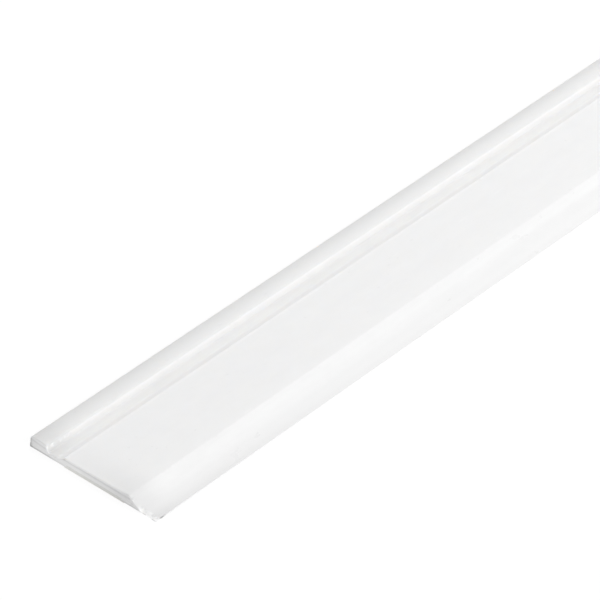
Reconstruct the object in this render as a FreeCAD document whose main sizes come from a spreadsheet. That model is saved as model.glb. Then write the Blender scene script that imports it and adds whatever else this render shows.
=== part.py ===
import FreeCAD, Part
import os
import Sketcher

# Self-adhesive door sweep, 36 in long, lying on its back with its front face up.
# +X runs along the strip, +Y points to the bead (the upper edge on a door), -Y to the wiping lip,
# and +Z is the front face. The origin is at mid-length and mid-width, on the release liner's outer
# face, which the strip lies on. Every piece is one section drawn in the YZ plane and extruded along X.

DIMENSIONS = [
    # alias, millimetres, meaning
    ("strip_length", 914.4, "end to end, 36 in"),
    ("strip_width", 44.45, "bead to lip tip, 1 3/4 in"),
    ("liner_thickness", 0.1, "release liner"),
    ("liner_width", 21.0, "release liner, with a lifting edge each side of the tape"),
    ("tape_thickness", 1.0, "double-sided foam tape"),
    ("tape_width", 19.05, "double-sided foam tape, 3/4 in"),
    ("tape_place", 22.6, "bead edge to the middle of the tape"),
    ("tape_proud", 0.1, "how far the tape stands out of its recess"),
    ("tape_side_gap", 0.2, "tape to each side wall of its recess"),
    ("bead_width", 6.1, "bead, at its foot"),
    ("bead_height", 3.95, "bead crown above the liner's outer face"),
    ("bead_rise", 0.35, "bead crown above the bead's top edges"),
    ("bead_radius", 1.2, "bead, outer top edge"),
    ("bead_edge_radius", 0.4, "bead, inner top edge and foot"),
    ("back_edge_radius", 0.25, "bead, lower back edge"),
    ("groove_height", 1.3, "groove floor beside the bead"),
    ("groove_far_height", 1.75, "groove floor at the foot of its ramp"),
    ("groove_end", 9.9, "bead edge to the foot of the ramp"),
    ("groove_radius", 1.8, "hollow where the floor turns up into the ramp"),
    ("panel_start", 12.1, "bead edge to the head of the ramp"),
    ("panel_start_height", 3.0, "panel beside the groove"),
    ("panel_edge_radius", 0.8, "panel edge beside the groove"),
    ("panel_height", 3.45, "panel beside the shoulder"),
    ("shoulder_place", 35.8, "bead edge to the shoulder's face"),
    ("flank_width", 0.8, "sloping flank above the shoulder's face, across the strip"),
    ("flank_drop", 0.75, "sloping flank above the shoulder's face, from the panel down"),
    ("flank_radius", 1.2, "rounded top of the flank"),
    ("key_depth", 2.0, "foot of the fin, under the shoulder"),
    ("key_height", 0.9, "foot of the fin at the shoulder's face"),
    ("key_rise", 0.25, "how much taller the foot is at its inner end, which locks it in"),
    ("web_bend", 37.2, "bead edge to where the fin turns flatter"),
    ("web_bend_height", 1.3, "fin, where it turns flatter"),
    ("web_radius", 3.0, "hollow where the fin turns flatter"),
    ("hinge_place", 38.6, "bead edge to the line that the lip bends about"),
    ("hinge_gap", 0.05, "clearance behind the lip's nose"),
    ("lip_thickness", 0.6, "lip where it bends"),
    ("lip_tip_thickness", 0.45, "lip at its tip"),
    ("lip_tip_radius", 0.2, "lip, tip edges"),
]

doc = FreeCAD.newDocument("door_sweep")
sheet = doc.addObject("Spreadsheet::Sheet", "Dims")
for row, (alias, value, meaning) in enumerate(DIMENSIONS, start=1):
    sheet.set(f"A{row}", meaning)
    sheet.set(f"B{row}", str(value))
    sheet.setAlias(f"B{row}", alias)
doc.recompute()

# Heights and places that several pieces share, as expressions over the sheet.
BACK = "(Dims.liner_thickness + Dims.tape_proud)"
RECESS_TOP = "(Dims.liner_thickness + Dims.tape_thickness)"
RECESS_HALF_WIDTH = "(Dims.tape_width / 2 + Dims.tape_side_gap)"
BEAD_TOP_EDGE = "(Dims.bead_height - Dims.bead_rise)"
FLANK_FOOT = "(Dims.panel_height - Dims.flank_drop)"
CROWN_RADIUS = "((Dims.bead_width / 2)^2 + Dims.bead_rise^2) / (2 * Dims.bead_rise)"
NOSE_RADIUS = "(Dims.lip_thickness / 2)"

# An edge is a long one if it runs for most of the strip, and it is found within this many millimetres.
LONG_EDGE_SHARE = 0.9
EDGE_TOLERANCE = 0.01
# A cut has to remove its section's volume to within this share.
VOLUME_TOLERANCE = 0.01

# Point numbers that sketch constraints use: the two ends of a side, and the sketch's own origin.
START, END = 1, 2
ORIGIN = (-1, 1)


def across(distance):
    """Y of a point at this distance from the bead's outer edge."""
    return f"Dims.strip_width / 2 - ({distance})"


def new_body(label):
    body = doc.addObject("PartDesign::Body", label)
    body.Label = label
    return body


def arc_between(start, end, radius):
    """Arc from start to end, turning anticlockwise by less than half a turn."""
    chord = end - start
    middle = (start + end) * 0.5
    to_centre = FreeCAD.Vector(-chord.y, chord.x, 0).normalize()
    centre = middle + to_centre * (radius ** 2 - (chord.Length / 2) ** 2) ** 0.5
    crown = centre - to_centre * radius
    return Part.Arc(start, crown, end)


def draw_section(body, name, corners):
    """Closed anticlockwise outline in the body's YZ plane, fully bound to the sheet.

    corners lists (y, z) or (y, z, radius) expressions. A straight side leaves a corner for the
    next one, or an arc that bulges outwards where the corner has a radius.
    """
    sketch = body.newObject("Sketcher::SketchObject", name)
    plane = next(p for p in body.Origin.OriginFeatures if p.Role == "YZ_Plane")
    sketch.AttachmentSupport = [(plane, "")]
    sketch.MapMode = "FlatFace"

    points = [FreeCAD.Vector(body.evalExpression(c[0]), body.evalExpression(c[1]), 0) for c in corners]
    for side, corner in enumerate(corners):
        start = points[side]
        end = points[(side + 1) % len(points)]
        if len(corner) == 3:
            sketch.addGeometry(arc_between(start, end, body.evalExpression(corner[2])))
        else:
            sketch.addGeometry(Part.LineSegment(start, end))

    for side, corner in enumerate(corners):
        following = (side + 1) % len(corners)
        sketch.addConstraint(Sketcher.Constraint("Coincident", side, END, following, START))
        for kind, value, expression in (("DistanceX", points[side].x, corner[0]),
                                        ("DistanceY", points[side].y, corner[1])):
            index = sketch.addConstraint(Sketcher.Constraint(kind, *ORIGIN, side, START, value))
            sketch.setExpression(f"Constraints[{index}]", expression)
        if len(corner) == 3:
            radius = body.evalExpression(corner[2])
            index = sketch.addConstraint(Sketcher.Constraint("Radius", side, radius))
            sketch.setExpression(f"Constraints[{index}]", corner[2])
    return sketch


def extrude(body, name, sketch):
    """The section, extruded along the whole strip."""
    pad = body.newObject("PartDesign::Pad", name)
    pad.Profile = sketch
    pad.SideType = "Symmetric"
    pad.setExpression("Length", "Dims.strip_length")
    doc.recompute()
    return pad


def cut_through(body, name, sketch):
    """The section, cut out along the whole strip."""
    before = body.Shape.Volume
    pocket = body.newObject("PartDesign::Pocket", name)
    pocket.Profile = sketch
    pocket.SideType = "Symmetric"
    pocket.setExpression("Length", "Dims.strip_length")
    doc.recompute()
    removed = before - body.Shape.Volume
    expected = Part.Face(Part.Wire(sketch.Shape.Edges)).Area * sheet.strip_length
    if abs(removed - expected) > VOLUME_TOLERANCE * expected:
        raise RuntimeError(f"{name} removed {removed:.1f} mm3 and not {expected:.1f}")
    return pocket


def round_edges(body, name, radius, places):
    """Round the long edges of the body's last feature that run through these (y, z) places."""
    base = body.Tip
    wanted = [(body.evalExpression(y), body.evalExpression(z)) for y, z in places]
    found = []
    for number, edge in enumerate(base.Shape.Edges, start=1):
        middle = edge.BoundBox.Center
        if edge.BoundBox.XLength < LONG_EDGE_SHARE * sheet.strip_length:
            continue
        for y, z in wanted:
            if abs(middle.y - y) < EDGE_TOLERANCE and abs(middle.z - z) < EDGE_TOLERANCE:
                found.append(f"Edge{number}")
    if len(found) != len(places):
        raise RuntimeError(f"{name} found {len(found)} of {len(places)} edges")
    fillet = body.newObject("PartDesign::Fillet", name)
    fillet.Base = (base, found)
    fillet.setExpression("Radius", radius)
    doc.recompute()
    return fillet


def fin_foot():
    """Foot of the fin, which the carrier's slot also has: taller at its inner end than at its mouth."""
    inner = across("Dims.shoulder_place - Dims.key_depth")
    mouth = across("Dims.shoulder_place")
    return [
        (mouth, BACK),
        (inner, BACK),
        (inner, f"{BACK} + Dims.key_height + Dims.key_rise"),
        (mouth, f"{BACK} + Dims.key_height"),
    ]


def make_carrier_strip():
    """Rigid extrusion: bead, groove, raised panel and sloping flank, with the tape's recess in its back."""
    body = new_body("carrier_strip")
    bead_outer_corner = (across("0"), BEAD_TOP_EDGE)
    bead_inner_corner = (across("Dims.bead_width"), BEAD_TOP_EDGE)
    bead_foot = (across("Dims.bead_width"), "Dims.groove_height")
    ramp_foot = (across("Dims.groove_end"), "Dims.groove_far_height")
    ramp_head = (across("Dims.panel_start"), "Dims.panel_start_height")
    flank_head = (across("Dims.shoulder_place - Dims.flank_width"), "Dims.panel_height")
    back_corner = (across("0"), BACK)
    section = draw_section(body, "CarrierSection", [
        back_corner,
        (*bead_outer_corner, CROWN_RADIUS),
        bead_inner_corner,
        bead_foot,
        ramp_foot,
        ramp_head,
        flank_head,
        (across("Dims.shoulder_place"), FLANK_FOOT),
        (across("Dims.shoulder_place"), BACK),
    ])
    extrude(body, "CarrierExtrusion", section)
    round_edges(body, "BeadOuterEdge", "Dims.bead_radius", [bead_outer_corner])
    round_edges(body, "BeadInnerEdges", "Dims.bead_edge_radius", [bead_inner_corner, bead_foot])
    round_edges(body, "GrooveHollow", "Dims.groove_radius", [ramp_foot])
    round_edges(body, "PanelEdge", "Dims.panel_edge_radius", [ramp_head])
    round_edges(body, "FlankHead", "Dims.flank_radius", [flank_head])
    round_edges(body, "BackEdge", "Dims.back_edge_radius", [back_corner])

    recess = draw_section(body, "RecessSection", [
        (across(f"Dims.tape_place + {RECESS_HALF_WIDTH}"), BACK),
        (across(f"Dims.tape_place - {RECESS_HALF_WIDTH}"), BACK),
        (across(f"Dims.tape_place - {RECESS_HALF_WIDTH}"), RECESS_TOP),
        (across(f"Dims.tape_place + {RECESS_HALF_WIDTH}"), RECESS_TOP),
    ])
    cut_through(body, "TapeRecess", recess)
    cut_through(body, "FinSlot", draw_section(body, "SlotSection", fin_foot()))
    return body


def make_fin_root():
    """Soft root of the fin: its foot fills the slot under the shoulder and its web carries on the flank."""
    body = new_body("fin_root")
    mouth_bottom, inner_bottom, inner_top, mouth_top = fin_foot()
    root_end = across(f"Dims.hinge_place - {NOSE_RADIUS} - Dims.hinge_gap")
    web_bend = (across("Dims.web_bend"), "Dims.web_bend_height")
    section = draw_section(body, "FinRootSection", [
        (root_end, BACK),
        inner_bottom,
        inner_top,
        mouth_top,
        (mouth_bottom[0], FLANK_FOOT),
        web_bend,
        (root_end, f"{BACK} + Dims.lip_thickness"),
    ])
    extrude(body, "FinRootExtrusion", section)
    round_edges(body, "WebHollow", "Dims.web_radius", [web_bend])
    return body


def make_fin_lip():
    """Soft wiping lip, drawn about the line that it bends about, with a round nose behind that line."""
    body = new_body("fin_lip")
    tip = "Dims.hinge_place - Dims.strip_width"
    tip_bottom = (tip, f"-{NOSE_RADIUS}")
    tip_top = (tip, f"Dims.lip_tip_thickness - {NOSE_RADIUS}")
    section = draw_section(body, "FinLipSection", [
        tip_bottom,
        ("0", f"-{NOSE_RADIUS}", NOSE_RADIUS),
        (NOSE_RADIUS, "0", NOSE_RADIUS),
        ("0", NOSE_RADIUS),
        tip_top,
    ])
    extrude(body, "FinLipExtrusion", section)
    round_edges(body, "LipTip", "Dims.lip_tip_radius", [tip_bottom, tip_top])
    body.setExpression("Placement.Base.y", across("Dims.hinge_place"))
    body.setExpression("Placement.Base.z", f"{BACK} + {NOSE_RADIUS}")
    return body


def make_flat_band(label, width, thickness, bottom):
    """Flat band on the tape's centre line, drawn about its own middle."""
    body = new_body(label)
    section = draw_section(body, f"{label}_section", [
        (f"-{width} / 2", "0"),
        (f"{width} / 2", "0"),
        (f"{width} / 2", thickness),
        (f"-{width} / 2", thickness),
    ])
    extrude(body, f"{label}_extrusion", section)
    body.setExpression("Placement.Base.y", across("Dims.tape_place"))
    body.setExpression("Placement.Base.z", bottom)
    return body


bodies = [
    make_carrier_strip(),
    make_fin_root(),
    make_fin_lip(),
    make_flat_band("foam_tape", "Dims.tape_width", "Dims.tape_thickness", "Dims.liner_thickness"),
    make_flat_band("release_liner", "Dims.liner_width", "Dims.liner_thickness", "0"),
]
doc.recompute()

failed = [o.Name for o in doc.Objects if {"Invalid", "Error"} & set(o.State)]
if failed:
    raise RuntimeError("failed objects: " + ", ".join(failed))
for body in bodies:
    if body.Shape.isNull() or not body.Shape.isValid() or len(body.Shape.Solids) != 1:
        raise RuntimeError(f"{body.Label} is not one valid solid")

os.makedirs("parts", exist_ok=True)
for body in bodies:
    body.Shape.exportStep(f"parts/{body.Label}.step")
    box = body.Shape.BoundBox
    print(f"{body.Label:14s} {body.Shape.Volume:9.1f} mm3  y {box.YMin:8.3f} {box.YMax:8.3f}"
          f"  z {box.ZMin:7.3f} {box.ZMax:7.3f}")
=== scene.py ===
"""White self-adhesive vinyl door sweep, lying on its back on a pale studio floor."""

import math

import bpy
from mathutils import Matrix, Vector, noise


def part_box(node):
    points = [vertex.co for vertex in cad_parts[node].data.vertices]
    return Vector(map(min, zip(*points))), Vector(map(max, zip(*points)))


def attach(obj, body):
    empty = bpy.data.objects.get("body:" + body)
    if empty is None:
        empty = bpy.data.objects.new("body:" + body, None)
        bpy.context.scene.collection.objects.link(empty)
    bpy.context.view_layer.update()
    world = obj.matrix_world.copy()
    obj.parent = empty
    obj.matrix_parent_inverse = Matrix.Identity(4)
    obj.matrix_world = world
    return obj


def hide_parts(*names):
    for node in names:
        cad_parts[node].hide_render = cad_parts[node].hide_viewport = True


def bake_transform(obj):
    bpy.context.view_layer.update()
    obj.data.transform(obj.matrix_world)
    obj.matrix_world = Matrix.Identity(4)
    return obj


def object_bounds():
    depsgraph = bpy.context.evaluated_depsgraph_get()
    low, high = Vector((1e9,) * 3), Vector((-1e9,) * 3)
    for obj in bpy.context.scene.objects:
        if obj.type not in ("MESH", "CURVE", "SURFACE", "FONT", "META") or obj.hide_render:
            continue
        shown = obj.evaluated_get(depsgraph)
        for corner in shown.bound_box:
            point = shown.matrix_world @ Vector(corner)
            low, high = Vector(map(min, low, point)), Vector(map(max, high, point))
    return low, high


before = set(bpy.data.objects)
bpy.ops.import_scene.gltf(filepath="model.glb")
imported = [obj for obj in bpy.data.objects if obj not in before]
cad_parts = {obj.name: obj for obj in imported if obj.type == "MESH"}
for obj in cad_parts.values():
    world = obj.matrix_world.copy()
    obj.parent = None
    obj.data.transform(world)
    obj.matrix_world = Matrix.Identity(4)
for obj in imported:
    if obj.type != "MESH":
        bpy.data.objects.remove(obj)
cad_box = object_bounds()

MM = 0.001

# ---------------------------------------------------------------- places from the frame
BEAD_EDGE = cad_box[1].y
LIP_TIP = cad_box[0].y
WIDTH = BEAD_EDGE - LIP_TIP
END_LOW = cad_box[0].x
END_HIGH = cad_box[1].x
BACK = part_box("carrier_strip")[0].z
TAPE_LOW, TAPE_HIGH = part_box("foam_tape")
LINER_LOW, LINER_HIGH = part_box("release_liner")

# ---------------------------------------------------------------- sections, in metres
# Distances across the strip are from the bead's outer edge.
SHOULDER = 35.8 * MM
FOOT_DEPTH = 2.0 * MM
FOOT_MOUTH = BACK + 0.9 * MM
FOOT_INNER = BACK + 1.15 * MM
RECESS_GAP = 0.2 * MM
BACK_CORNER = 0.25 * MM
LIP_TIP_THICKNESS = 0.45 * MM
LIP_LOWER_CORNER = 0.15 * MM
LIP_UPPER_CORNER = 0.2 * MM
TAPE_SQUEEZE = 0.9 * RECESS_GAP
TAPE_CORNER = 0.1 * MM

# Corners in mm: distance from the bead's outer edge, height, corner radius.
# First the top of the rigid carrier.
CARRIER_TOP = [
    (0.0, 3.65, 1.2),
    (3.2, 4.06, 13.0),
    (6.0, 3.65, 0.7),
    (6.35, 1.3, 0.4),
    (9.3, 1.65, 3.0),
    (12.1, 2.95, 0.12),
    (12.25, 2.93, 0.0),
    (12.38, 3.08, 0.1),
    (12.95, 3.00, 1.0),
    (34.85, 3.46, 0.6),
    (35.8, 2.71, 0.0),
]
# Then the visible top of the soft fin, from the shoulder towards the lip's tip.
FIN_TOP = [
    (35.8, 2.71, 0.0),
    (37.25, 1.36, 4.0),
    (39.3, 0.83, 12.0),
    (41.6, 0.63, 25.0),
]

# ---------------------------------------------------------------- mesh steps
# Longest step round each section.
CARRIER_STEP = 0.8 * MM
FIN_STEP = 0.35 * MM
TAPE_STEP = 1.0 * MM
LINER_STEP = 1.5 * MM
# Steps along the strip: short at the cut ends, and growing to the full step past their reach.
STEP = 3.0 * MM
CUT_STEP = 0.25 * MM
END_STEP = 0.6 * MM
END_REACH = 30.0 * MM
STEP_GROWTH = 1.3
# The cut ends' edges are rounded in a few rings. The tape and the liner lie too low to be rounded.
CARRIER_END_ROUND = 0.3 * MM
THIN_END_ROUND = 0.1 * MM
LINER_END_ROUND = 0.02 * MM
END_RINGS = 3
ROUND_ABOVE = TAPE_HIGH.z + 0.2 * MM
# Keeps a sharp corner from moving too far when an outline is inset.
LEAST_STRETCH = 0.5
# Widest turn between two points of an arc, and the turn that looks sharp.
ARC_ANGLE = math.radians(9)
SHARP_ANGLE = math.radians(35)

# ---------------------------------------------------------------- uneven edges
# The bead's inner top edge wanders slowly all along, and is nicked near its cut ends.
BEAD_INNER = 6.1 * MM
BEAD_INNER_REACH = 0.6 * MM
NICKED_ABOVE = BACK + 2.4 * MM
NICK = 0.10 * MM
NICK_LIMIT = 0.4
NICK_REACH = 18.0 * MM
SLOW_WAVE = 7.0 * MM
SLOW_SHARE = 0.3
QUICK_WAVE = 1.7 * MM
FINE_WAVE = 0.8 * MM
FINE_SHARE = 0.6
# The soft lip's cut ends are ragged, pinched thin and droop to the floor.
LIP_ROOT = 38.2 * MM
ROOT_FADE = 1.0 * MM
RAGGED = 0.45 * MM
RAGGED_REACH = 1.2 * MM
RAGGED_ROOT_FADE = 2.0 * MM
RAGGED_MEAN = 0.45
COARSE_TEAR = 1.6 * MM
COARSE_TEAR_SHARE = 0.6
FINE_TEAR = 0.5 * MM
FINE_TEAR_SHARE = 0.45
PINCH = 0.85
PINCH_REACH = 1.0 * MM
DROOP = 0.15 * MM
DROOP_REACH = 1.0 * MM
# Past the droop the lip's tip curls up a little, and less towards the strip's middle.
TIP_CURL = 0.12 * MM
TIP_CURL_REACH = 45.0 * MM
TIP_CURL_START = 2.0 * MM
TIP_CURL_WIDTH = 7.0 * MM

# ---------------------------------------------------------------- looks of the vinyl
VINYL_LIGHT = (0.92, 0.92, 0.92)
VINYL_DARK = (0.90, 0.90, 0.90)
RIGID_ROUGHNESS = 0.36
SOFT_ROUGHNESS = 0.32
GLOSS_SPREAD = 0.06
VINYL_IOR = 1.53
SCATTER_RADIUS = 1.5 * MM
SCATTER_COLORS = (1.0, 0.97, 0.92)
# Vinyl turns white where it is nicked or torn; the same white is also painted light, glints on the
# nicks and light on the torn ends.
BROKEN_AND_LIT_WHITE = (0.99, 0.99, 0.99)
# Noise values that count as none and all of a pattern.
MIDDLE_SPAN = (0.35, 0.65)
WIDE_SPAN = (0.3, 0.7)
# Noise patterns: features per metre along the strip and round it, detail and roughness.
DIE_LINES = (4, 1500, 4.0, 0.6)
MOTTLE = (90, 160, 5.0, 0.6)
GRAIN = (1500, 2500, 2.0, 0.5)
SCUFFS = (130, 700, 4.0, 0.6)
SPECKS = (500, 700, 2.0, 0.5)
TEARS = (900, 900, 4.0, 0.7)
# Depth and strength of the bumps.
DIE_LINE_BUMP = (0.010 * MM, 0.6)
GRAIN_BUMP = (0.006 * MM, 0.5)
TEAR_DEPTH = 0.10 * MM
# The rigid vinyl has a few light scuffs and dark specks: their noise values and their tones.
SCUFF_SPAN = (0.66, 0.74)
SCUFF_TONE = 1.03
SPECK_SPAN = (0.24, 0.32)
SPECK_TONE = 0.95

# Tones across the strip, as (distance in mm from the bead's outer edge, tone); they are painted
# light and shade.
# The rigid vinyl's front: painted shade on the bead towards its outer edge and in the groove,
# painted highlights on the bead's inner wall and on the panel's edge, and painted light on the ramp
# up to the panel.
RIGID_PAINTED_LIGHT_TONES = [
    (0.0, 0.85),
    (0.5, 0.85),
    (5.3, 0.91),
    (6.03, 0.89),
    (6.1, 1.03),
    (6.15, 1.02),
    (6.21, 0.965),
    (6.5, 0.965),
    (7.0, 0.925),
    (9.0, 0.915),
    (9.9, 1.08),
    (12.2, 1.09),
    (12.4, 1.035),
    (12.75, 1.03),
    (12.95, 1.0),
    (40.0, 1.0),
]
# The soft fin: painted light makes its hollow below the shoulder a little lighter, against the
# shade that falls there.
SOFT_PAINTED_LIGHT_TONES = [
    (0.0, 1.0),
    (36.2, 1.0),
    (37.0, 1.02),
    (38.2, 1.0),
    (40.0, 0.98),
    (42.0, 1.0),
    (44.5, 1.0),
]
# Painted shade at the cut ends: what both are multiplied by there, and how far along the strip this
# reaches.
END_PAINTED_SHADE_TONES = [
    (0.0, 0.92),
    (5.9, 0.92),
    (6.1, 0.86),
    (6.4, 0.92),
    (12.0, 0.955),
    (20.0, 0.94),
    (35.0, 0.88),
    (38.5, 0.89),
    (40.0, 0.93),
    (44.5, 0.93),
]
END_SHADE_REACH = 12.0 * MM
# Painted shade: the lip is greyer along its tip, fully at the cut ends, and by a small share in the
# middle.
TIP_SHADE = 0.90
TIP_START = 40.5 * MM
TIP_SHADE_REACH = 75.0 * MM
TIP_MIDDLE_SHARE = 0.1
# Under the tip's corners the lip's edge lies in shadow, which is full before the very corner.
CORNER_SHADE = 0.45
CORNER_SHADE_REACH = 3.5 * MM
CORNER_SHADE_FULL = 0.45
TIP_EDGE_START = WIDTH - 0.2 * MM
TIP_EDGE_END = WIDTH - 0.1 * MM
# Share of light that the rigid vinyl scatters inside: none beside the soft fin, where they meet.
RIGID_SCATTER = [(0.0, 1.0), (31.0, 1.0), (34.0, 0.0), (36.0, 0.0)]

# The small white nicks, partly painted glints, lie on this band of the bead's inner edge.
NICK_AND_GLINT_BAND = (6.0 * MM, 6.24 * MM)
NICK_AND_GLINT_LENGTH = 1.6 * MM
NICK_AND_GLINT_SPOTS = (1 / NICK_AND_GLINT_LENGTH, 600, 3.0, 0.6)
NICK_WHITE_AND_GLINT = 0.8
NICK_AND_GLINT_REACH = 1.6 * NICK_REACH
# Noise level that makes a white nick, which is partly a painted glint, away from the ends and at
# them, and how a nick fades in round it.
NICK_AND_GLINT_LEVELS = (0.75, 0.53)
NICK_AND_GLINT_SPAN = (-0.05, 0.10)

# The soft vinyl is white where it was torn, partly painted light on its thin edge, this far from
# its cut ends and with an uneven edge.
TORN_REACH = 1.5 * MM
TORN_FULL_REACH = 0.4 * TORN_REACH
TORN_WANDER = 0.5 * TORN_REACH
TORN_EDGE = (400, 900, 4.0, 0.8)
# How white it is there, across the strip; the half share up to the shoulder is a painted highlight
# on the rim of the fin's cut end.
TORN_AND_LIT_SHARES = [
    (0.0, 0.5),
    (36.0, 0.5),
    (36.4, 0.0),
    (37.8, 0.1),
    (38.6, 0.9),
    (39.5, 1.0),
    (44.5, 1.0),
]

# ---------------------------------------------------------------- looks of the cut ends
CUT_COLOR = (0.84, 0.84, 0.84)
TORN_COLOR = (0.97, 0.97, 0.97)
CUT_ROUGHNESS = 0.55
SAW_SHADE = 0.93
SAW_MARKS = (500, 4000, 3.0, 0.6)
SAW_BUMP = (0.03 * MM, 0.7)
# Painted shade and light across the rigid cut end: darkest at the bead's outer corner, lightest
# under the panel, darker towards the shoulder.
CUT_PAINTED_SHADE_TONES = [
    (0.0, 0.45),
    (0.5, 0.70),
    (1.0, 0.94),
    (2.6, 0.98),
    (4.0, 1.02),
    (15.9, 1.09),
    (21.3, 1.02),
    (26.6, 0.98),
    (31.0, 0.91),
    (36.0, 0.88),
]
# Painted shade across the soft cut end: darker beside the rigid vinyl, full tone on the lip.
TORN_PAINTED_SHADE_TONES = [
    (0.0, 0.80),
    (35.8, 0.80),
    (37.3, 0.84),
    (38.3, 0.88),
    (39.0, 1.0),
    (44.5, 1.0),
]
# The torn ends scatter light inside the lip, but not beside the rigid vinyl.
TORN_SCATTER = [(0.0, 0.0), (38.2, 0.0), (39.0, 1.0), (44.5, 1.0)]
# Painted shade: their low edge is darker, where it lies in the strip's own shadow.
LOW_EDGE_SHADE_TONES = [
    (0.0, 0.70),
    (6.4, 0.72),
    (8.2, 0.88),
    (12.0, 0.92),
    (31.0, 0.86),
    (38.3, 0.86),
    (39.0, 1.0),
]
LOW_EDGE_HEIGHT = 0.55 * MM
LOW_EDGE_FADE = 0.4 * MM
# A wandering line across the ends, which rises towards the bead's outer edge: a shallow groove that
# the blade left, with painted shadow along it.
SCORE_HEIGHT = 2.45 * MM
SCORE_RISE = 0.55 * MM
SCORE_TILT_REACH = 5.0 * MM
SCORE_WANDER = 0.25 * MM
SCORE_WIDTH = 0.5 * MM
SCORE_SHADOW_TONE = 0.86
SCORE_PATH = (250, 0, 3.0, 0.6)
SCORE_BUMP = (0.04 * MM, 0.4)

# ---------------------------------------------------------------- looks of the tape and liner
FOAM_LIGHT = (0.86, 0.86, 0.84)
FOAM_DARK = (0.72, 0.72, 0.70)
FOAM_ROUGHNESS = 0.8
CELLS_PER_METRE = 6000
CELL_SPAN = 0.8
CELL_BUMP = (0.05 * MM, 0.8)
# Painted shade across the foam's cut ends, darker towards the shoulder.
FOAM_END_SHADE_TONES = [
    (0.0, 1.0),
    (13.0, 0.98),
    (19.0, 0.95),
    (25.0, 0.87),
    (31.0, 0.81),
    (33.0, 0.81),
]
LINER_LIGHT = (0.88, 0.86, 0.80)
LINER_DARK = (0.80, 0.77, 0.69)
LINER_ROUGHNESS = 0.32
FIBRES = (400, 1200, 6.0, 0.7)
FIBRE_BUMP = (0.01 * MM, 0.4)

# ---------------------------------------------------------------- studio
FLOOR_HALF = 3.0
FLOOR_COLOR = (0.2, 0.2, 0.2, 1)
FLOOR_ROUGHNESS = 0.9
FLOOR_GLOW = 0.828
WHITE = (1, 1, 1, 1)
SKY = 0.573
# The lights point at the strip, a little in from its near end.
LIGHT_TARGET = Vector((END_LOW + 0.1, 0, 0))
# Soft lights: name, direction they stand in, distance and size in metres, power in watts.
LIGHTS = [
    ("front", (0.0, -0.866, 0.5), 2.0, 1.2, 14.0),
    ("back", (0.5, 0.5, 0.707), 2.0, 1.2, 6.3),
    ("end", (-0.966, 0.0, 0.259), 2.0, 1.2, 0.55),
    ("over_near_end", (0.2, 0.0, 0.4), 0.447, 0.2, 0.16),
    ("low_front", (0.5, -0.6, 0.3), 0.837, 0.5, 0.47),
    ("low_back", (0.7, 0.3, 0.5), 0.911, 0.3, 0.16),
]


# ---------------------------------------------------------------- mesh helpers
def across(distance):
    """Y of a point at this distance from the bead's outer edge."""
    return BEAD_EDGE - distance


def smooth(value):
    """Smooth step from 0 at value 0 to 1 at value 1."""
    value = min(1.0, max(0.0, value))
    return value * value * (3 - 2 * value)


def wave(place, length, seed):
    """Smooth noise between about -1 and 1, with features of this length; seed picks the pattern."""
    return noise.noise((place / length, *seed))


def corner(distance_mm, height_mm, radius_mm):
    """(y, z, radius) in metres of a corner that is listed in mm."""
    return (across(distance_mm * MM), height_mm * MM, radius_mm * MM)


def corner_arc(before, here, after, radius, step):
    """Points of the arc that rounds the corner here, between its neighbours before and after."""
    u = (before - here).normalized()
    v = (after - here).normalized()
    half = u.angle(v) / 2
    reach = radius / math.tan(half)
    centre = here + (u + v).normalized() * (radius / math.sin(half))
    first = here + u * reach - centre
    last = here + v * reach - centre
    turn = first.angle_signed(last)
    pieces = max(2, math.ceil(abs(turn) / ARC_ANGLE), math.ceil(abs(turn) * radius / step))
    arc = []
    for k in range(pieces + 1):
        c = math.cos(-turn * k / pieces)
        s = math.sin(-turn * k / pieces)
        arc.append(centre + Vector((first.x * c - first.y * s, first.x * s + first.y * c)))
    return arc


def rounded_outline(corners, step):
    """Closed (y, z) outline through (y, z, radius) corners, with no step longer than step."""
    count = len(corners)
    places = [Vector(point[:2]) for point in corners]
    stops = []
    for index, here in enumerate(places):
        radius = corners[index][2]
        if radius > 0:
            after = places[(index + 1) % count]
            stops.append(corner_arc(places[index - 1], here, after, radius, step))
        else:
            stops.append([here])

    outline = []
    for index, arc in enumerate(stops):
        outline.extend(arc)
        start, end = arc[-1], stops[(index + 1) % count][0]
        pieces = math.ceil((end - start).length / step)
        for k in range(1, pieces):
            outline.append(start.lerp(end, k / pieces))
    return outline


def inset(outline, distance):
    """The outline moved inwards by distance, above the height where the rounding starts."""
    moved = []
    count = len(outline)
    for index, point in enumerate(outline):
        back = (point - outline[index - 1]).normalized()
        ahead = (outline[(index + 1) % count] - point).normalized()
        normal = Vector((-(back + ahead).y, (back + ahead).x)).normalized()
        stretch = max(LEAST_STRETCH, normal.dot(Vector((-back.y, back.x))))
        share = smooth((point.y - ROUND_ABOVE) / distance)
        moved.append(point + normal * (distance * share / stretch))
    return moved


def stations(end_round):
    """X places along the strip, closest together at its ends, with the outline's inset at each."""
    half = []
    for ring in range(END_RINGS + 1):
        turn = math.pi / 2 * ring / END_RINGS
        half.append((end_round * (1 - math.cos(turn)), end_round * (1 - math.sin(turn))))
    half[-1] = (end_round, 0.0)
    growing = CUT_STEP
    while growing < STEP:
        half.append((half[-1][0] + growing, 0.0))
        if growing < END_STEP or half[-1][0] > END_REACH:
            growing *= STEP_GROWTH
    length = END_HIGH - END_LOW
    start = half[-1][0]
    middle = length - 2 * start
    pieces = round(middle / STEP)
    body = [(start + middle * k / pieces, 0.0) for k in range(1, pieces)]
    full = half + body + [(length - x, gap) for x, gap in reversed(half)]
    return [(END_LOW + x, gap) for x, gap in full]


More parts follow.
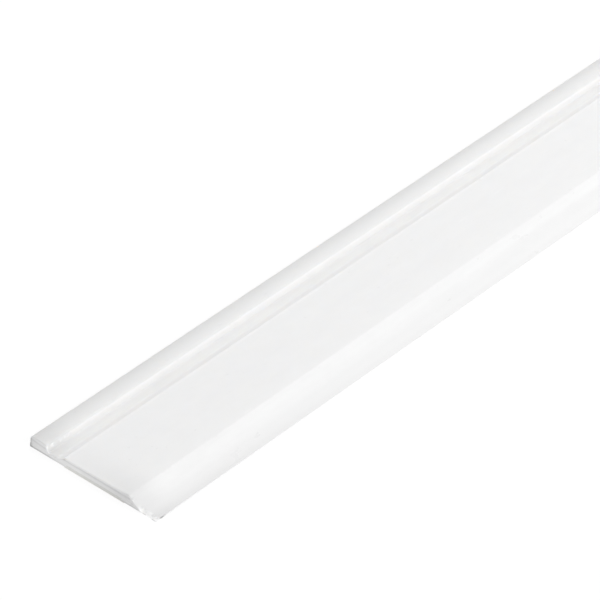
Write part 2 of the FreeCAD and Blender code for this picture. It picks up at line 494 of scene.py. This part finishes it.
def strip_faces(count, rings):
    """Quads between neighbouring rings of count points each, and then the two end faces."""
    faces = []
    for ring in range(rings - 1):
        low, high = ring * count, (ring + 1) * count
        for k in range(count):
            following = (k + 1) % count
            faces.append((low + k, low + following, high + following, high + k))
    faces.append(tuple(reversed(range(count))))
    faces.append(tuple(range((rings - 1) * count, rings * count)))
    return faces


def add_uv(mesh, outline, end_outline, sides):
    """Two UV maps, in metres.

    "strip" runs along the strip and round its section, and on the end faces it is Y and Z.
    "section" is a point's distance from the bead's outer edge and its height, in the outline.
    """
    count = len(outline)
    around = [0.0]
    for k in range(count):
        around.append(around[-1] + (outline[(k + 1) % count] - outline[k]).length)
    strip = mesh.uv_layers.new(name="strip")
    section = mesh.uv_layers.new(name="section")
    for polygon in mesh.polygons:
        on_side = polygon.index < sides
        k = polygon.index % count
        flat = outline if on_side else end_outline
        for place, loop in enumerate(polygon.loop_indices):
            vertex = mesh.loops[loop].vertex_index
            point = mesh.vertices[vertex].co
            y, z = flat[vertex % count]
            section.data[loop].uv = (BEAD_EDGE - y, z)
            if on_side:
                following = place in (1, 2)
                strip.data[loop].uv = (point.x, around[k + following])
            else:
                strip.data[loop].uv = (point.y, point.z)


def extrude(name, outline, places, shape=None, end_material=1):
    """Closed strip: the outline at each X place, with each point moved to shape(point)."""
    rims = {}
    verts = []
    for x, gap in places:
        if gap not in rims:
            rims[gap] = inset(outline, gap) if gap else outline
        for y, z in rims[gap]:
            point = Vector((x, y, z))
            verts.append(shape(point) if shape else point)

    mesh = bpy.data.meshes.new(name)
    faces = strip_faces(len(outline), len(places))
    sides = len(faces) - 2
    mesh.from_pydata(verts, [], faces)
    for polygon in mesh.polygons:
        polygon.use_smooth = polygon.index < sides
        polygon.material_index = 0 if polygon.index < sides else end_material
    add_uv(mesh, outline, rims[places[0][1]], sides)
    mesh.validate()
    piece = bpy.data.objects.new(name, mesh)
    bpy.context.scene.collection.objects.link(piece)
    mesh.set_sharp_from_angle(angle=SHARP_ANGLE)
    return piece


# ---------------------------------------------------------------- material helpers
def new_material(name):
    material = bpy.data.materials.new(name)
    material.use_nodes = True
    return material, material.node_tree.nodes, material.node_tree.links


def uv_map(nodes, name):
    uv = nodes.new("ShaderNodeUVMap")
    uv.uv_map = name
    return uv.outputs["UV"]


def math_node(nodes, links, operation, first, second=None):
    """Math node on a value, with a second value or plain number."""
    node = nodes.new("ShaderNodeMath")
    node.operation = operation
    links.new(first, node.inputs[0])
    if isinstance(second, float):
        node.inputs[1].default_value = second
    elif second is not None:
        links.new(second, node.inputs[1])
    return node.outputs[0]


def place_across(nodes, links):
    """Distance from the bead's outer edge and height above the floor, in metres."""
    split = nodes.new("ShaderNodeSeparateXYZ")
    links.new(uv_map(nodes, "section"), split.inputs["Vector"])
    return split.outputs["X"], split.outputs["Y"]


def place_along(nodes, links):
    """Distance from the strip's middle along it, in metres."""
    split = nodes.new("ShaderNodeSeparateXYZ")
    links.new(uv_map(nodes, "strip"), split.inputs["Vector"])
    return math_node(nodes, links, "ABSOLUTE", split.outputs["X"])


def strip_noise(nodes, links, pattern):
    """Noise on the strip: pattern is features per metre along and round it, detail, roughness."""
    along, around, detail, roughness = pattern
    mapping = nodes.new("ShaderNodeMapping")
    mapping.inputs["Scale"].default_value = (along, around, 1)
    links.new(uv_map(nodes, "strip"), mapping.inputs["Vector"])
    texture = nodes.new("ShaderNodeTexNoise")
    texture.inputs["Scale"].default_value = 1.0
    texture.inputs["Detail"].default_value = detail
    texture.inputs["Roughness"].default_value = roughness
    links.new(mapping.outputs["Vector"], texture.inputs["Vector"])
    return texture.outputs["Fac"]


def remap(nodes, links, value, low, high, out_low, out_high, smoothed=False):
    node = nodes.new("ShaderNodeMapRange")
    node.interpolation_type = "SMOOTHSTEP" if smoothed else "LINEAR"
    node.inputs["From Min"].default_value = low
    node.inputs["From Max"].default_value = high
    node.inputs["To Min"].default_value = out_low
    node.inputs["To Max"].default_value = out_high
    links.new(value, node.inputs["Value"])
    return node.outputs["Result"]


def add_bump(nodes, links, height, distance, strength, normal=None):
    """Bump on top of normal: strength is a number or a value across the surface."""
    node = nodes.new("ShaderNodeBump")
    node.inputs["Distance"].default_value = distance
    if isinstance(strength, float):
        node.inputs["Strength"].default_value = strength
    else:
        links.new(strength, node.inputs["Strength"])
    links.new(height, node.inputs["Height"])
    if normal is not None:
        links.new(normal, node.inputs["Normal"])
    return node.outputs["Normal"]


def mix_colors(nodes, links, factor, first, second):
    """Mix of two colours, each a plain (r, g, b) or another node's colour."""
    node = nodes.new("ShaderNodeMix")
    node.data_type = "RGBA"
    for color, socket in ((first, node.inputs[6]), (second, node.inputs[7])):
        if isinstance(color, tuple):
            socket.default_value = (*color, 1)
        else:
            links.new(color, socket)
    links.new(factor, node.inputs[0])
    return node.outputs[2]


def scale_color(nodes, links, color, factor):
    node = nodes.new("ShaderNodeVectorMath")
    node.operation = "SCALE"
    links.new(color, node.inputs[0])
    links.new(factor, node.inputs["Scale"])
    return node.outputs["Vector"]


def tone_across(nodes, links, stops):
    """Tone at each distance from the bead's outer edge: stops lists (distance in mm, tone)."""
    distance, _ = place_across(nodes, links)
    reach = stops[-1][0] * MM
    ramp = nodes.new("ShaderNodeValToRGB")
    links.new(remap(nodes, links, distance, 0.0, reach, 0.0, 1.0), ramp.inputs["Fac"])
    elements = ramp.color_ramp.elements
    while len(elements) < len(stops):
        elements.new(0.5)
    for element, (place, tone) in zip(elements, stops):
        element.position = place * MM / reach
        element.color = (tone, tone, tone, 1)
    return ramp.outputs["Color"]


def tone_color(nodes, links, color, stops):
    return scale_color(nodes, links, color, tone_across(nodes, links, stops))


def scatter_light(links, shader, share):
    links.new(share, shader.inputs["Subsurface Weight"])
    shader.inputs["Subsurface Radius"].default_value = SCATTER_COLORS
    shader.inputs["Subsurface Scale"].default_value = SCATTER_RADIUS


# ---------------------------------------------------------------- materials
def tip_shade(nodes, links, along):
    """Painted shade on the lip: greyer along its tip, and painted shadow under the tip's corners.
    """
    distance, _ = place_across(nodes, links)
    tip = remap(nodes, links, distance, TIP_START, WIDTH, 0.0, 1.0)
    end_start = END_HIGH - TIP_SHADE_REACH
    near_end = remap(nodes, links, along, end_start, END_HIGH, TIP_MIDDLE_SHARE, 1.0)
    tip = math_node(nodes, links, "MULTIPLY", tip, near_end)
    tip = remap(nodes, links, tip, 0.0, 1.0, 1.0, TIP_SHADE)
    edge = remap(nodes, links, distance, TIP_EDGE_START, TIP_EDGE_END, 0.0, 1.0)
    near_corner = remap(nodes, links, along, END_HIGH - CORNER_SHADE_REACH, END_HIGH, 0.0, 1.0)
    under = math_node(nodes, links, "MULTIPLY", edge, near_corner)
    under = remap(nodes, links, under, 0.0, CORNER_SHADE_FULL, 1.0, CORNER_SHADE)
    return math_node(nodes, links, "MULTIPLY", tip, under)


def torn_and_lit_mask(nodes, links, along):
    """1 where the soft vinyl is torn at its cut ends, white partly from tearing and partly as
    painted light, with an uneven edge, and 0 elsewhere.
    """
    uneven = strip_noise(nodes, links, TORN_EDGE)
    uneven = remap(nodes, links, uneven, *WIDE_SPAN, -TORN_WANDER, TORN_WANDER)
    along = math_node(nodes, links, "ADD", along, uneven)
    start, full = END_HIGH - TORN_REACH, END_HIGH - TORN_FULL_REACH
    near_end = remap(nodes, links, along, start, full, 0.0, 1.0)
    shares = tone_across(nodes, links, TORN_AND_LIT_SHARES)
    return math_node(nodes, links, "MULTIPLY", near_end, shares)


def nick_and_glint_mask(nodes, links, along):
    """Above 0 at the white nicks in the bead's inner edge, partly painted glints, which thin out
    away from the ends.
    """
    low, high = NICK_AND_GLINT_BAND
    middle = (low + high) / 2
    distance, _ = place_across(nodes, links)
    off_edge = math_node(nodes, links, "SUBTRACT", distance, middle)
    off_edge = math_node(nodes, links, "ABSOLUTE", off_edge)
    on_edge = remap(nodes, links, off_edge, (high - low) / 4, (high - low) / 2, 1.0, 0.0)
    spots = strip_noise(nodes, links, NICK_AND_GLINT_SPOTS)
    level = remap(nodes, links, along, END_HIGH - NICK_AND_GLINT_REACH, END_HIGH, *NICK_AND_GLINT_LEVELS)
    spots = math_node(nodes, links, "SUBTRACT", spots, level)
    spots = remap(nodes, links, spots, *NICK_AND_GLINT_SPAN, 0.0, NICK_WHITE_AND_GLINT)
    return math_node(nodes, links, "MULTIPLY", spots, on_edge)


def wear(nodes, links, color):
    """The colour with a few light scuffs and dark specks."""
    scuffs = strip_noise(nodes, links, SCUFFS)
    scuffs = remap(nodes, links, scuffs, *SCUFF_SPAN, 1.0, SCUFF_TONE)
    color = scale_color(nodes, links, color, scuffs)
    specks = strip_noise(nodes, links, SPECKS)
    specks = remap(nodes, links, specks, *SPECK_SPAN, SPECK_TONE, 1.0)
    return scale_color(nodes, links, color, specks)


def vinyl(name, roughness, tones, scatter=None, torn=False):
    """Extruded vinyl: fine die lines along the strip, faint mottling and a slightly uneven gloss.

    tones are painted light and shade across the strip, and scatter is how much light it scatters
    across it; painted shade darkens it at the cut ends.
    Torn vinyl is white and rough at its ends, partly painted light, where it also scatters light,
    with painted shade along its tip; other vinyl is nicked and worn, its white nicks partly painted
    glints.
    """
    material, nodes, links = new_material(name)
    shader = nodes["Principled BSDF"]
    mottle = strip_noise(nodes, links, MOTTLE)
    shade = remap(nodes, links, mottle, *MIDDLE_SPAN, 0.0, 1.0)
    color = mix_colors(nodes, links, shade, VINYL_DARK, VINYL_LIGHT)
    # Painted light and shade across the strip.
    color = tone_color(nodes, links, color, tones)
    along = place_along(nodes, links)
    # Painted shade at the cut ends.
    end_start = END_HIGH - END_SHADE_REACH
    ends = remap(nodes, links, along, end_start, END_HIGH, 0.0, 1.0, smoothed=True)
    color = mix_colors(nodes, links, ends, color, tone_color(nodes, links, color, END_PAINTED_SHADE_TONES))
    if torn:
        # Painted shade along the lip's tip, and painted shadow under its corners.
        color = scale_color(nodes, links, color, tip_shade(nodes, links, along))
        # White at the torn ends, partly painted light.
        white = torn_and_lit_mask(nodes, links, along)
    else:
        color = wear(nodes, links, color)
        # White nicks, partly painted glints.
        white = nick_and_glint_mask(nodes, links, along)
    # White where nicked or torn, partly painted light: glints on the nicks and light on the torn
    # ends.
    color = mix_colors(nodes, links, white, color, BROKEN_AND_LIT_WHITE)
    links.new(color, shader.inputs["Base Color"])

    low, high = roughness - GLOSS_SPREAD, roughness + GLOSS_SPREAD
    gloss = remap(nodes, links, mottle, *WIDE_SPAN, low, high)
    links.new(gloss, shader.inputs["Roughness"])
    shader.inputs["IOR"].default_value = VINYL_IOR
    normal = add_bump(nodes, links, strip_noise(nodes, links, DIE_LINES), *DIE_LINE_BUMP)
    normal = add_bump(nodes, links, strip_noise(nodes, links, GRAIN), *GRAIN_BUMP, normal)
    if torn:
        tears = strip_noise(nodes, links, TEARS)
        normal = add_bump(nodes, links, tears, TEAR_DEPTH, white, normal)
    links.new(normal, shader.inputs["Normal"])
    share = white if torn else tone_across(nodes, links, scatter)
    scatter_light(links, shader, share)
    return material


def score_and_shadow_line(nodes, links, distance, height):
    """0 on the wandering line across the cut end, where a shallow groove and painted shadow go, and
    1 away from it.
    """
    rise = remap(nodes, links, distance, 0.0, SCORE_TILT_REACH, -SCORE_RISE, 0.0)
    wander = strip_noise(nodes, links, SCORE_PATH)
    wander = remap(nodes, links, wander, 0.0, 1.0, -SCORE_WANDER, SCORE_WANDER)
    line = math_node(nodes, links, "ADD", height, wander)
    line = math_node(nodes, links, "ADD", line, rise)
    line = math_node(nodes, links, "SUBTRACT", line, SCORE_HEIGHT)
    line = math_node(nodes, links, "ABSOLUTE", line)
    return remap(nodes, links, line, 0.0, SCORE_WIDTH, 0.0, 1.0, smoothed=True)


def cut_face(name, color, tones, scored_with_shadow=False, scatter=None):
    """Matt cut end: fine saw marks, painted shade and light across it and on its low edge, and
    where scored a wandering groove with painted shadow.
    """
    material, nodes, links = new_material(name)
    shader = nodes["Principled BSDF"]
    marks = strip_noise(nodes, links, SAW_MARKS)
    shade = remap(nodes, links, marks, *MIDDLE_SPAN, 0.0, 1.0)
    dark = tuple(SAW_SHADE * c for c in color)
    face = mix_colors(nodes, links, shade, dark, color)
    # Painted shade and light across the cut end.
    face = tone_color(nodes, links, face, tones)
    distance, height = place_across(nodes, links)
    # Painted shade on the low edge.
    low, high = LOW_EDGE_HEIGHT, LOW_EDGE_HEIGHT + LOW_EDGE_FADE
    low_edge = remap(nodes, links, height, low, high, 1.0, 0.0, smoothed=True)
    shaded = tone_color(nodes, links, face, LOW_EDGE_SHADE_TONES)
    face = mix_colors(nodes, links, low_edge, face, shaded)
    normal = add_bump(nodes, links, marks, *SAW_BUMP)
    if scored_with_shadow:
        # Painted shadow along the wandering line, on top of its groove.
        line = score_and_shadow_line(nodes, links, distance, height)
        line_shadow = remap(nodes, links, line, 0.0, 1.0, SCORE_SHADOW_TONE, 1.0)
        face = scale_color(nodes, links, face, line_shadow)
        normal = add_bump(nodes, links, line, *SCORE_BUMP, normal)
    links.new(face, shader.inputs["Base Color"])
    shader.inputs["Roughness"].default_value = CUT_ROUGHNESS
    links.new(normal, shader.inputs["Normal"])
    if scatter:
        scatter_light(links, shader, tone_across(nodes, links, scatter))
    return material


def foam(name, tones=None):
    """Closed-cell foam: small cells and matt, with painted shade across its ends when tones are
    given.
    """
    material, nodes, links = new_material(name)
    shader = nodes["Principled BSDF"]
    coordinates = nodes.new("ShaderNodeTexCoord")
    cells = nodes.new("ShaderNodeTexVoronoi")
    cells.inputs["Scale"].default_value = CELLS_PER_METRE
    links.new(coordinates.outputs["Object"], cells.inputs["Vector"])
    depth = cells.outputs["Distance"]
    shade = remap(nodes, links, depth, 0.0, CELL_SPAN, 0.0, 1.0)
    color = mix_colors(nodes, links, shade, FOAM_DARK, FOAM_LIGHT)
    # Painted shade across the ends.
    if tones:
        color = tone_color(nodes, links, color, tones)
    links.new(color, shader.inputs["Base Color"])
    shader.inputs["Roughness"].default_value = FOAM_ROUGHNESS
    links.new(add_bump(nodes, links, depth, *CELL_BUMP), shader.inputs["Normal"])
    return material


def liner_paper(name):
    """Siliconised release paper: waxy, with faint fibres."""
    material, nodes, links = new_material(name)
    shader = nodes["Principled BSDF"]
    fibres = strip_noise(nodes, links, FIBRES)
    shade = remap(nodes, links, fibres, *WIDE_SPAN, 0.0, 1.0)
    color = mix_colors(nodes, links, shade, LINER_DARK, LINER_LIGHT)
    links.new(color, shader.inputs["Base Color"])
    shader.inputs["Roughness"].default_value = LINER_ROUGHNESS
    links.new(add_bump(nodes, links, fibres, *FIBRE_BUMP), shader.inputs["Normal"])
    return material


RIGID = vinyl("rigid_vinyl", RIGID_ROUGHNESS, RIGID_PAINTED_LIGHT_TONES, scatter=RIGID_SCATTER)
SOFT = vinyl("soft_vinyl", SOFT_ROUGHNESS, SOFT_PAINTED_LIGHT_TONES, torn=True)
CUT = cut_face("cut_vinyl", CUT_COLOR, CUT_PAINTED_SHADE_TONES, scored_with_shadow=True)
TORN = cut_face("torn_vinyl", TORN_COLOR, TORN_PAINTED_SHADE_TONES, scatter=TORN_SCATTER)
FOAM = foam("foam")
FOAM_END = foam("foam_end", FOAM_END_SHADE_TONES)
LINER = liner_paper("release_paper")


# ---------------------------------------------------------------- pieces
def finish_piece(piece, body, node_names, slot, *materials):
    """Give the piece its materials, hide the frame nodes it stands in for, and attach it to its
    body where it has just one; slot is not used.
    """
    for material in materials:
        piece.data.materials.append(material)
    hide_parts(*node_names)
    if body:
        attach(piece, body)


def uneven_bead(point):
    """Where a point of the rigid strip goes: the bead's inner top edge is uneven and nicked."""
    from_edge = abs(point.y - across(BEAD_INNER)) / BEAD_INNER_REACH
    if point.z < NICKED_ABOVE or from_edge > 1:
        return point
    from_end = min(point.x - END_LOW, END_HIGH - point.x)
    slow = wave(point.x, SLOW_WAVE, seed=(4.5, 0.5))
    quick = wave(point.x, QUICK_WAVE, seed=(8.5, 0.5))
    quick += FINE_SHARE * wave(point.x, FINE_WAVE, seed=(1.5, 2.5))
    depth = SLOW_SHARE * slow + quick * math.exp(-from_end / NICK_REACH)
    depth = NICK * min(NICK_LIMIT, depth) * smooth(1 - from_edge)
    return point + Vector((0, depth, depth))


def make_carrier():
    """Rigid strip with bead, groove, panel and shoulder.

    Its back is open for the tape and for the fin's foot.
    """
    inner_foot = across(SHOULDER - FOOT_DEPTH)
    corners = [
        (across(SHOULDER), FOOT_MOUTH, 0.0),
        (inner_foot, FOOT_INNER, 0.0),
        (inner_foot, BACK, 0.0),
        (TAPE_LOW.y - RECESS_GAP, BACK, 0.0),
        (TAPE_LOW.y - RECESS_GAP, TAPE_HIGH.z, 0.0),
        (TAPE_HIGH.y + RECESS_GAP, TAPE_HIGH.z, 0.0),
        (TAPE_HIGH.y + RECESS_GAP, BACK, 0.0),
        (BEAD_EDGE, BACK, BACK_CORNER),
    ]
    corners += [corner(*c) for c in CARRIER_TOP]
    outline = rounded_outline(corners, CARRIER_STEP)
    piece = extrude("rigid_strip", outline, stations(CARRIER_END_ROUND), uneven_bead)
    finish_piece(piece, "carrier", ["carrier_strip"], "rigid_vinyl", RIGID, CUT)


def lip_end(point):
    """Where a point of the fin goes: the lip's ends are ragged, pinched to an edge and droop."""
    from_end = min(point.x - END_LOW, END_HIGH - point.x)
    from_root = across(LIP_ROOT) - point.y
    if from_root <= 0:
        return point
    inward = 1 if point.x < 0 else -1
    coarse = wave(point.y, COARSE_TEAR, seed=(0.5, 2.0 * inward))
    fine = wave(point.y, FINE_TEAR, seed=(3.5, 2.0 * inward))
    tear = RAGGED_MEAN + COARSE_TEAR_SHARE * coarse + FINE_TEAR_SHARE * fine
    retreat = RAGGED * min(1.0, max(0.0, tear))
    share = smooth(from_root / RAGGED_ROOT_FADE) * max(0.0, 1 - from_end / RAGGED_REACH)
    root_fade = smooth(from_root / ROOT_FADE)
    pinch = PINCH * smooth(1 - from_end / PINCH_REACH) * root_fade
    curl = smooth((from_root - TIP_CURL_START) / TIP_CURL_WIDTH)
    lift = TIP_CURL * curl * math.exp(-from_end / TIP_CURL_REACH)
    lift -= (DROOP + lift) * smooth(1 - from_end / DROOP_REACH) * root_fade
    height = point.z + (BACK - point.z) * pinch + lift
    return Vector((point.x + inward * retreat * share, point.y, height))


def make_fin():
    """One soft piece: its foot under the shoulder, the web, and the thin lip."""
    inner_foot = across(SHOULDER - FOOT_DEPTH)
    tip_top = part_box("fin_lip")[0].z + LIP_TIP_THICKNESS
    corners = [
        (LIP_TIP, BACK, LIP_LOWER_CORNER),
        (inner_foot, BACK, 0.0),
        (inner_foot, FOOT_INNER, 0.0),
        (across(SHOULDER), FOOT_MOUTH, 0.0),
    ]
    corners += [corner(*c) for c in FIN_TOP]
    corners.append((LIP_TIP, tip_top, LIP_UPPER_CORNER))
    outline = rounded_outline(corners, FIN_STEP)
    piece = extrude("flexible_fin", outline, stations(THIN_END_ROUND), lip_end)
    finish_piece(piece, None, ["fin_root", "fin_lip"], "soft_vinyl", SOFT, TORN)
    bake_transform(piece)


def make_tape():
    """Foam tape, squeezed out to the sides of its recess."""
    low, high = TAPE_LOW, TAPE_HIGH
    left, right = low.y - TAPE_SQUEEZE, high.y + TAPE_SQUEEZE
    corners = [
        (left, low.z, TAPE_CORNER),
        (right, low.z, TAPE_CORNER),
        (right, high.z, 0.0),
        (left, high.z, 0.0),
    ]
    outline = rounded_outline(corners, TAPE_STEP)
    piece = extrude("foam_strip", outline, stations(THIN_END_ROUND))
    finish_piece(piece, "carrier", ["foam_tape"], "foam_tape", FOAM, FOAM_END)


def make_liner():
    """Release liner, a plain thin strip over the tape."""
    low, high = LINER_LOW, LINER_HIGH
    corners = [
        (low.y, low.z, 0.0),
        (high.y, low.z, 0.0),
        (high.y, high.z, 0.0),
        (low.y, high.z, 0.0),
    ]
    outline = rounded_outline(corners, LINER_STEP)
    piece = extrude("liner_strip", outline, stations(LINER_END_ROUND), end_material=0)
    finish_piece(piece, "liner", ["release_liner"], "release_liner", LINER)


# ---------------------------------------------------------------- studio pieces
def add_floor():
    """Pale floor, white mostly by its own even glow, so that the strip hardly shades it."""
    mesh = bpy.data.meshes.new("floor")
    low, high = -FLOOR_HALF, FLOOR_HALF
    verts = [(low, low, 0), (high, low, 0), (high, high, 0), (low, high, 0)]
    mesh.from_pydata(verts, [], [(0, 1, 2, 3)])
    floor = bpy.data.objects.new("floor", mesh)
    bpy.context.scene.collection.objects.link(floor)
    material, nodes, _ = new_material("studio_white")
    shader = nodes["Principled BSDF"]
    shader.inputs["Base Color"].default_value = FLOOR_COLOR
    shader.inputs["Roughness"].default_value = FLOOR_ROUGHNESS
    shader.inputs["Emission Color"].default_value = WHITE
    shader.inputs["Emission Strength"].default_value = FLOOR_GLOW
    mesh.materials.append(material)


def add_light(name, direction, distance, size, power):
    """Square soft light that shines from direction onto the strip's near end."""
    data = bpy.data.lights.new(name, "AREA")
    data.shape = "SQUARE"
    data.size = size
    data.energy = power
    light = bpy.data.objects.new(name, data)
    light.location = LIGHT_TARGET + Vector(direction).normalized() * distance
    light.rotation_mode = "QUATERNION"
    light.rotation_quaternion = Vector(direction).to_track_quat("Z", "Y")
    bpy.context.scene.collection.objects.link(light)


def add_world(strength):
    """Plain white surroundings of this strength."""
    world = bpy.data.worlds.new("studio")
    bpy.context.scene.world = world
    world.use_nodes = True
    background = world.node_tree.nodes["Background"]
    background.inputs["Color"].default_value = WHITE
    background.inputs["Strength"].default_value = strength


def add_camera(target, azimuth, elevation, distance, lens):
    """Long lens that looks down at target.

    Azimuth 0 looks along +Y, elevation is above the floor, and distance is in metres.
    """
    turn, tilt = math.radians(azimuth), math.radians(elevation)
    level = math.cos(tilt)
    back = Vector((math.sin(turn) * level, -math.cos(turn) * level, math.sin(tilt)))
    data = bpy.data.cameras.new("camera")
    data.lens = lens
    data.sensor_width = 36
    data.clip_start = 0.05
    data.clip_end = 50
    camera = bpy.data.objects.new("camera", data)
    camera.location = Vector(target) + back * distance
    camera.rotation_mode = "QUATERNION"
    camera.rotation_quaternion = back.to_track_quat("Z", "Y")
    bpy.context.scene.collection.objects.link(camera)
    bpy.context.scene.camera = camera


make_carrier()
make_fin()
make_tape()
make_liner()

add_floor()
add_world(SKY)
for light in LIGHTS:
    add_light(*light)
add_camera(
    target=(END_LOW + 91.6 * MM, across(9.8 * MM), 0),
    azimuth=-47.9,
    elevation=37.5,
    distance=1.1687,
    lens=264,
)
bpy.context.scene.view_settings.view_transform = "Standard"
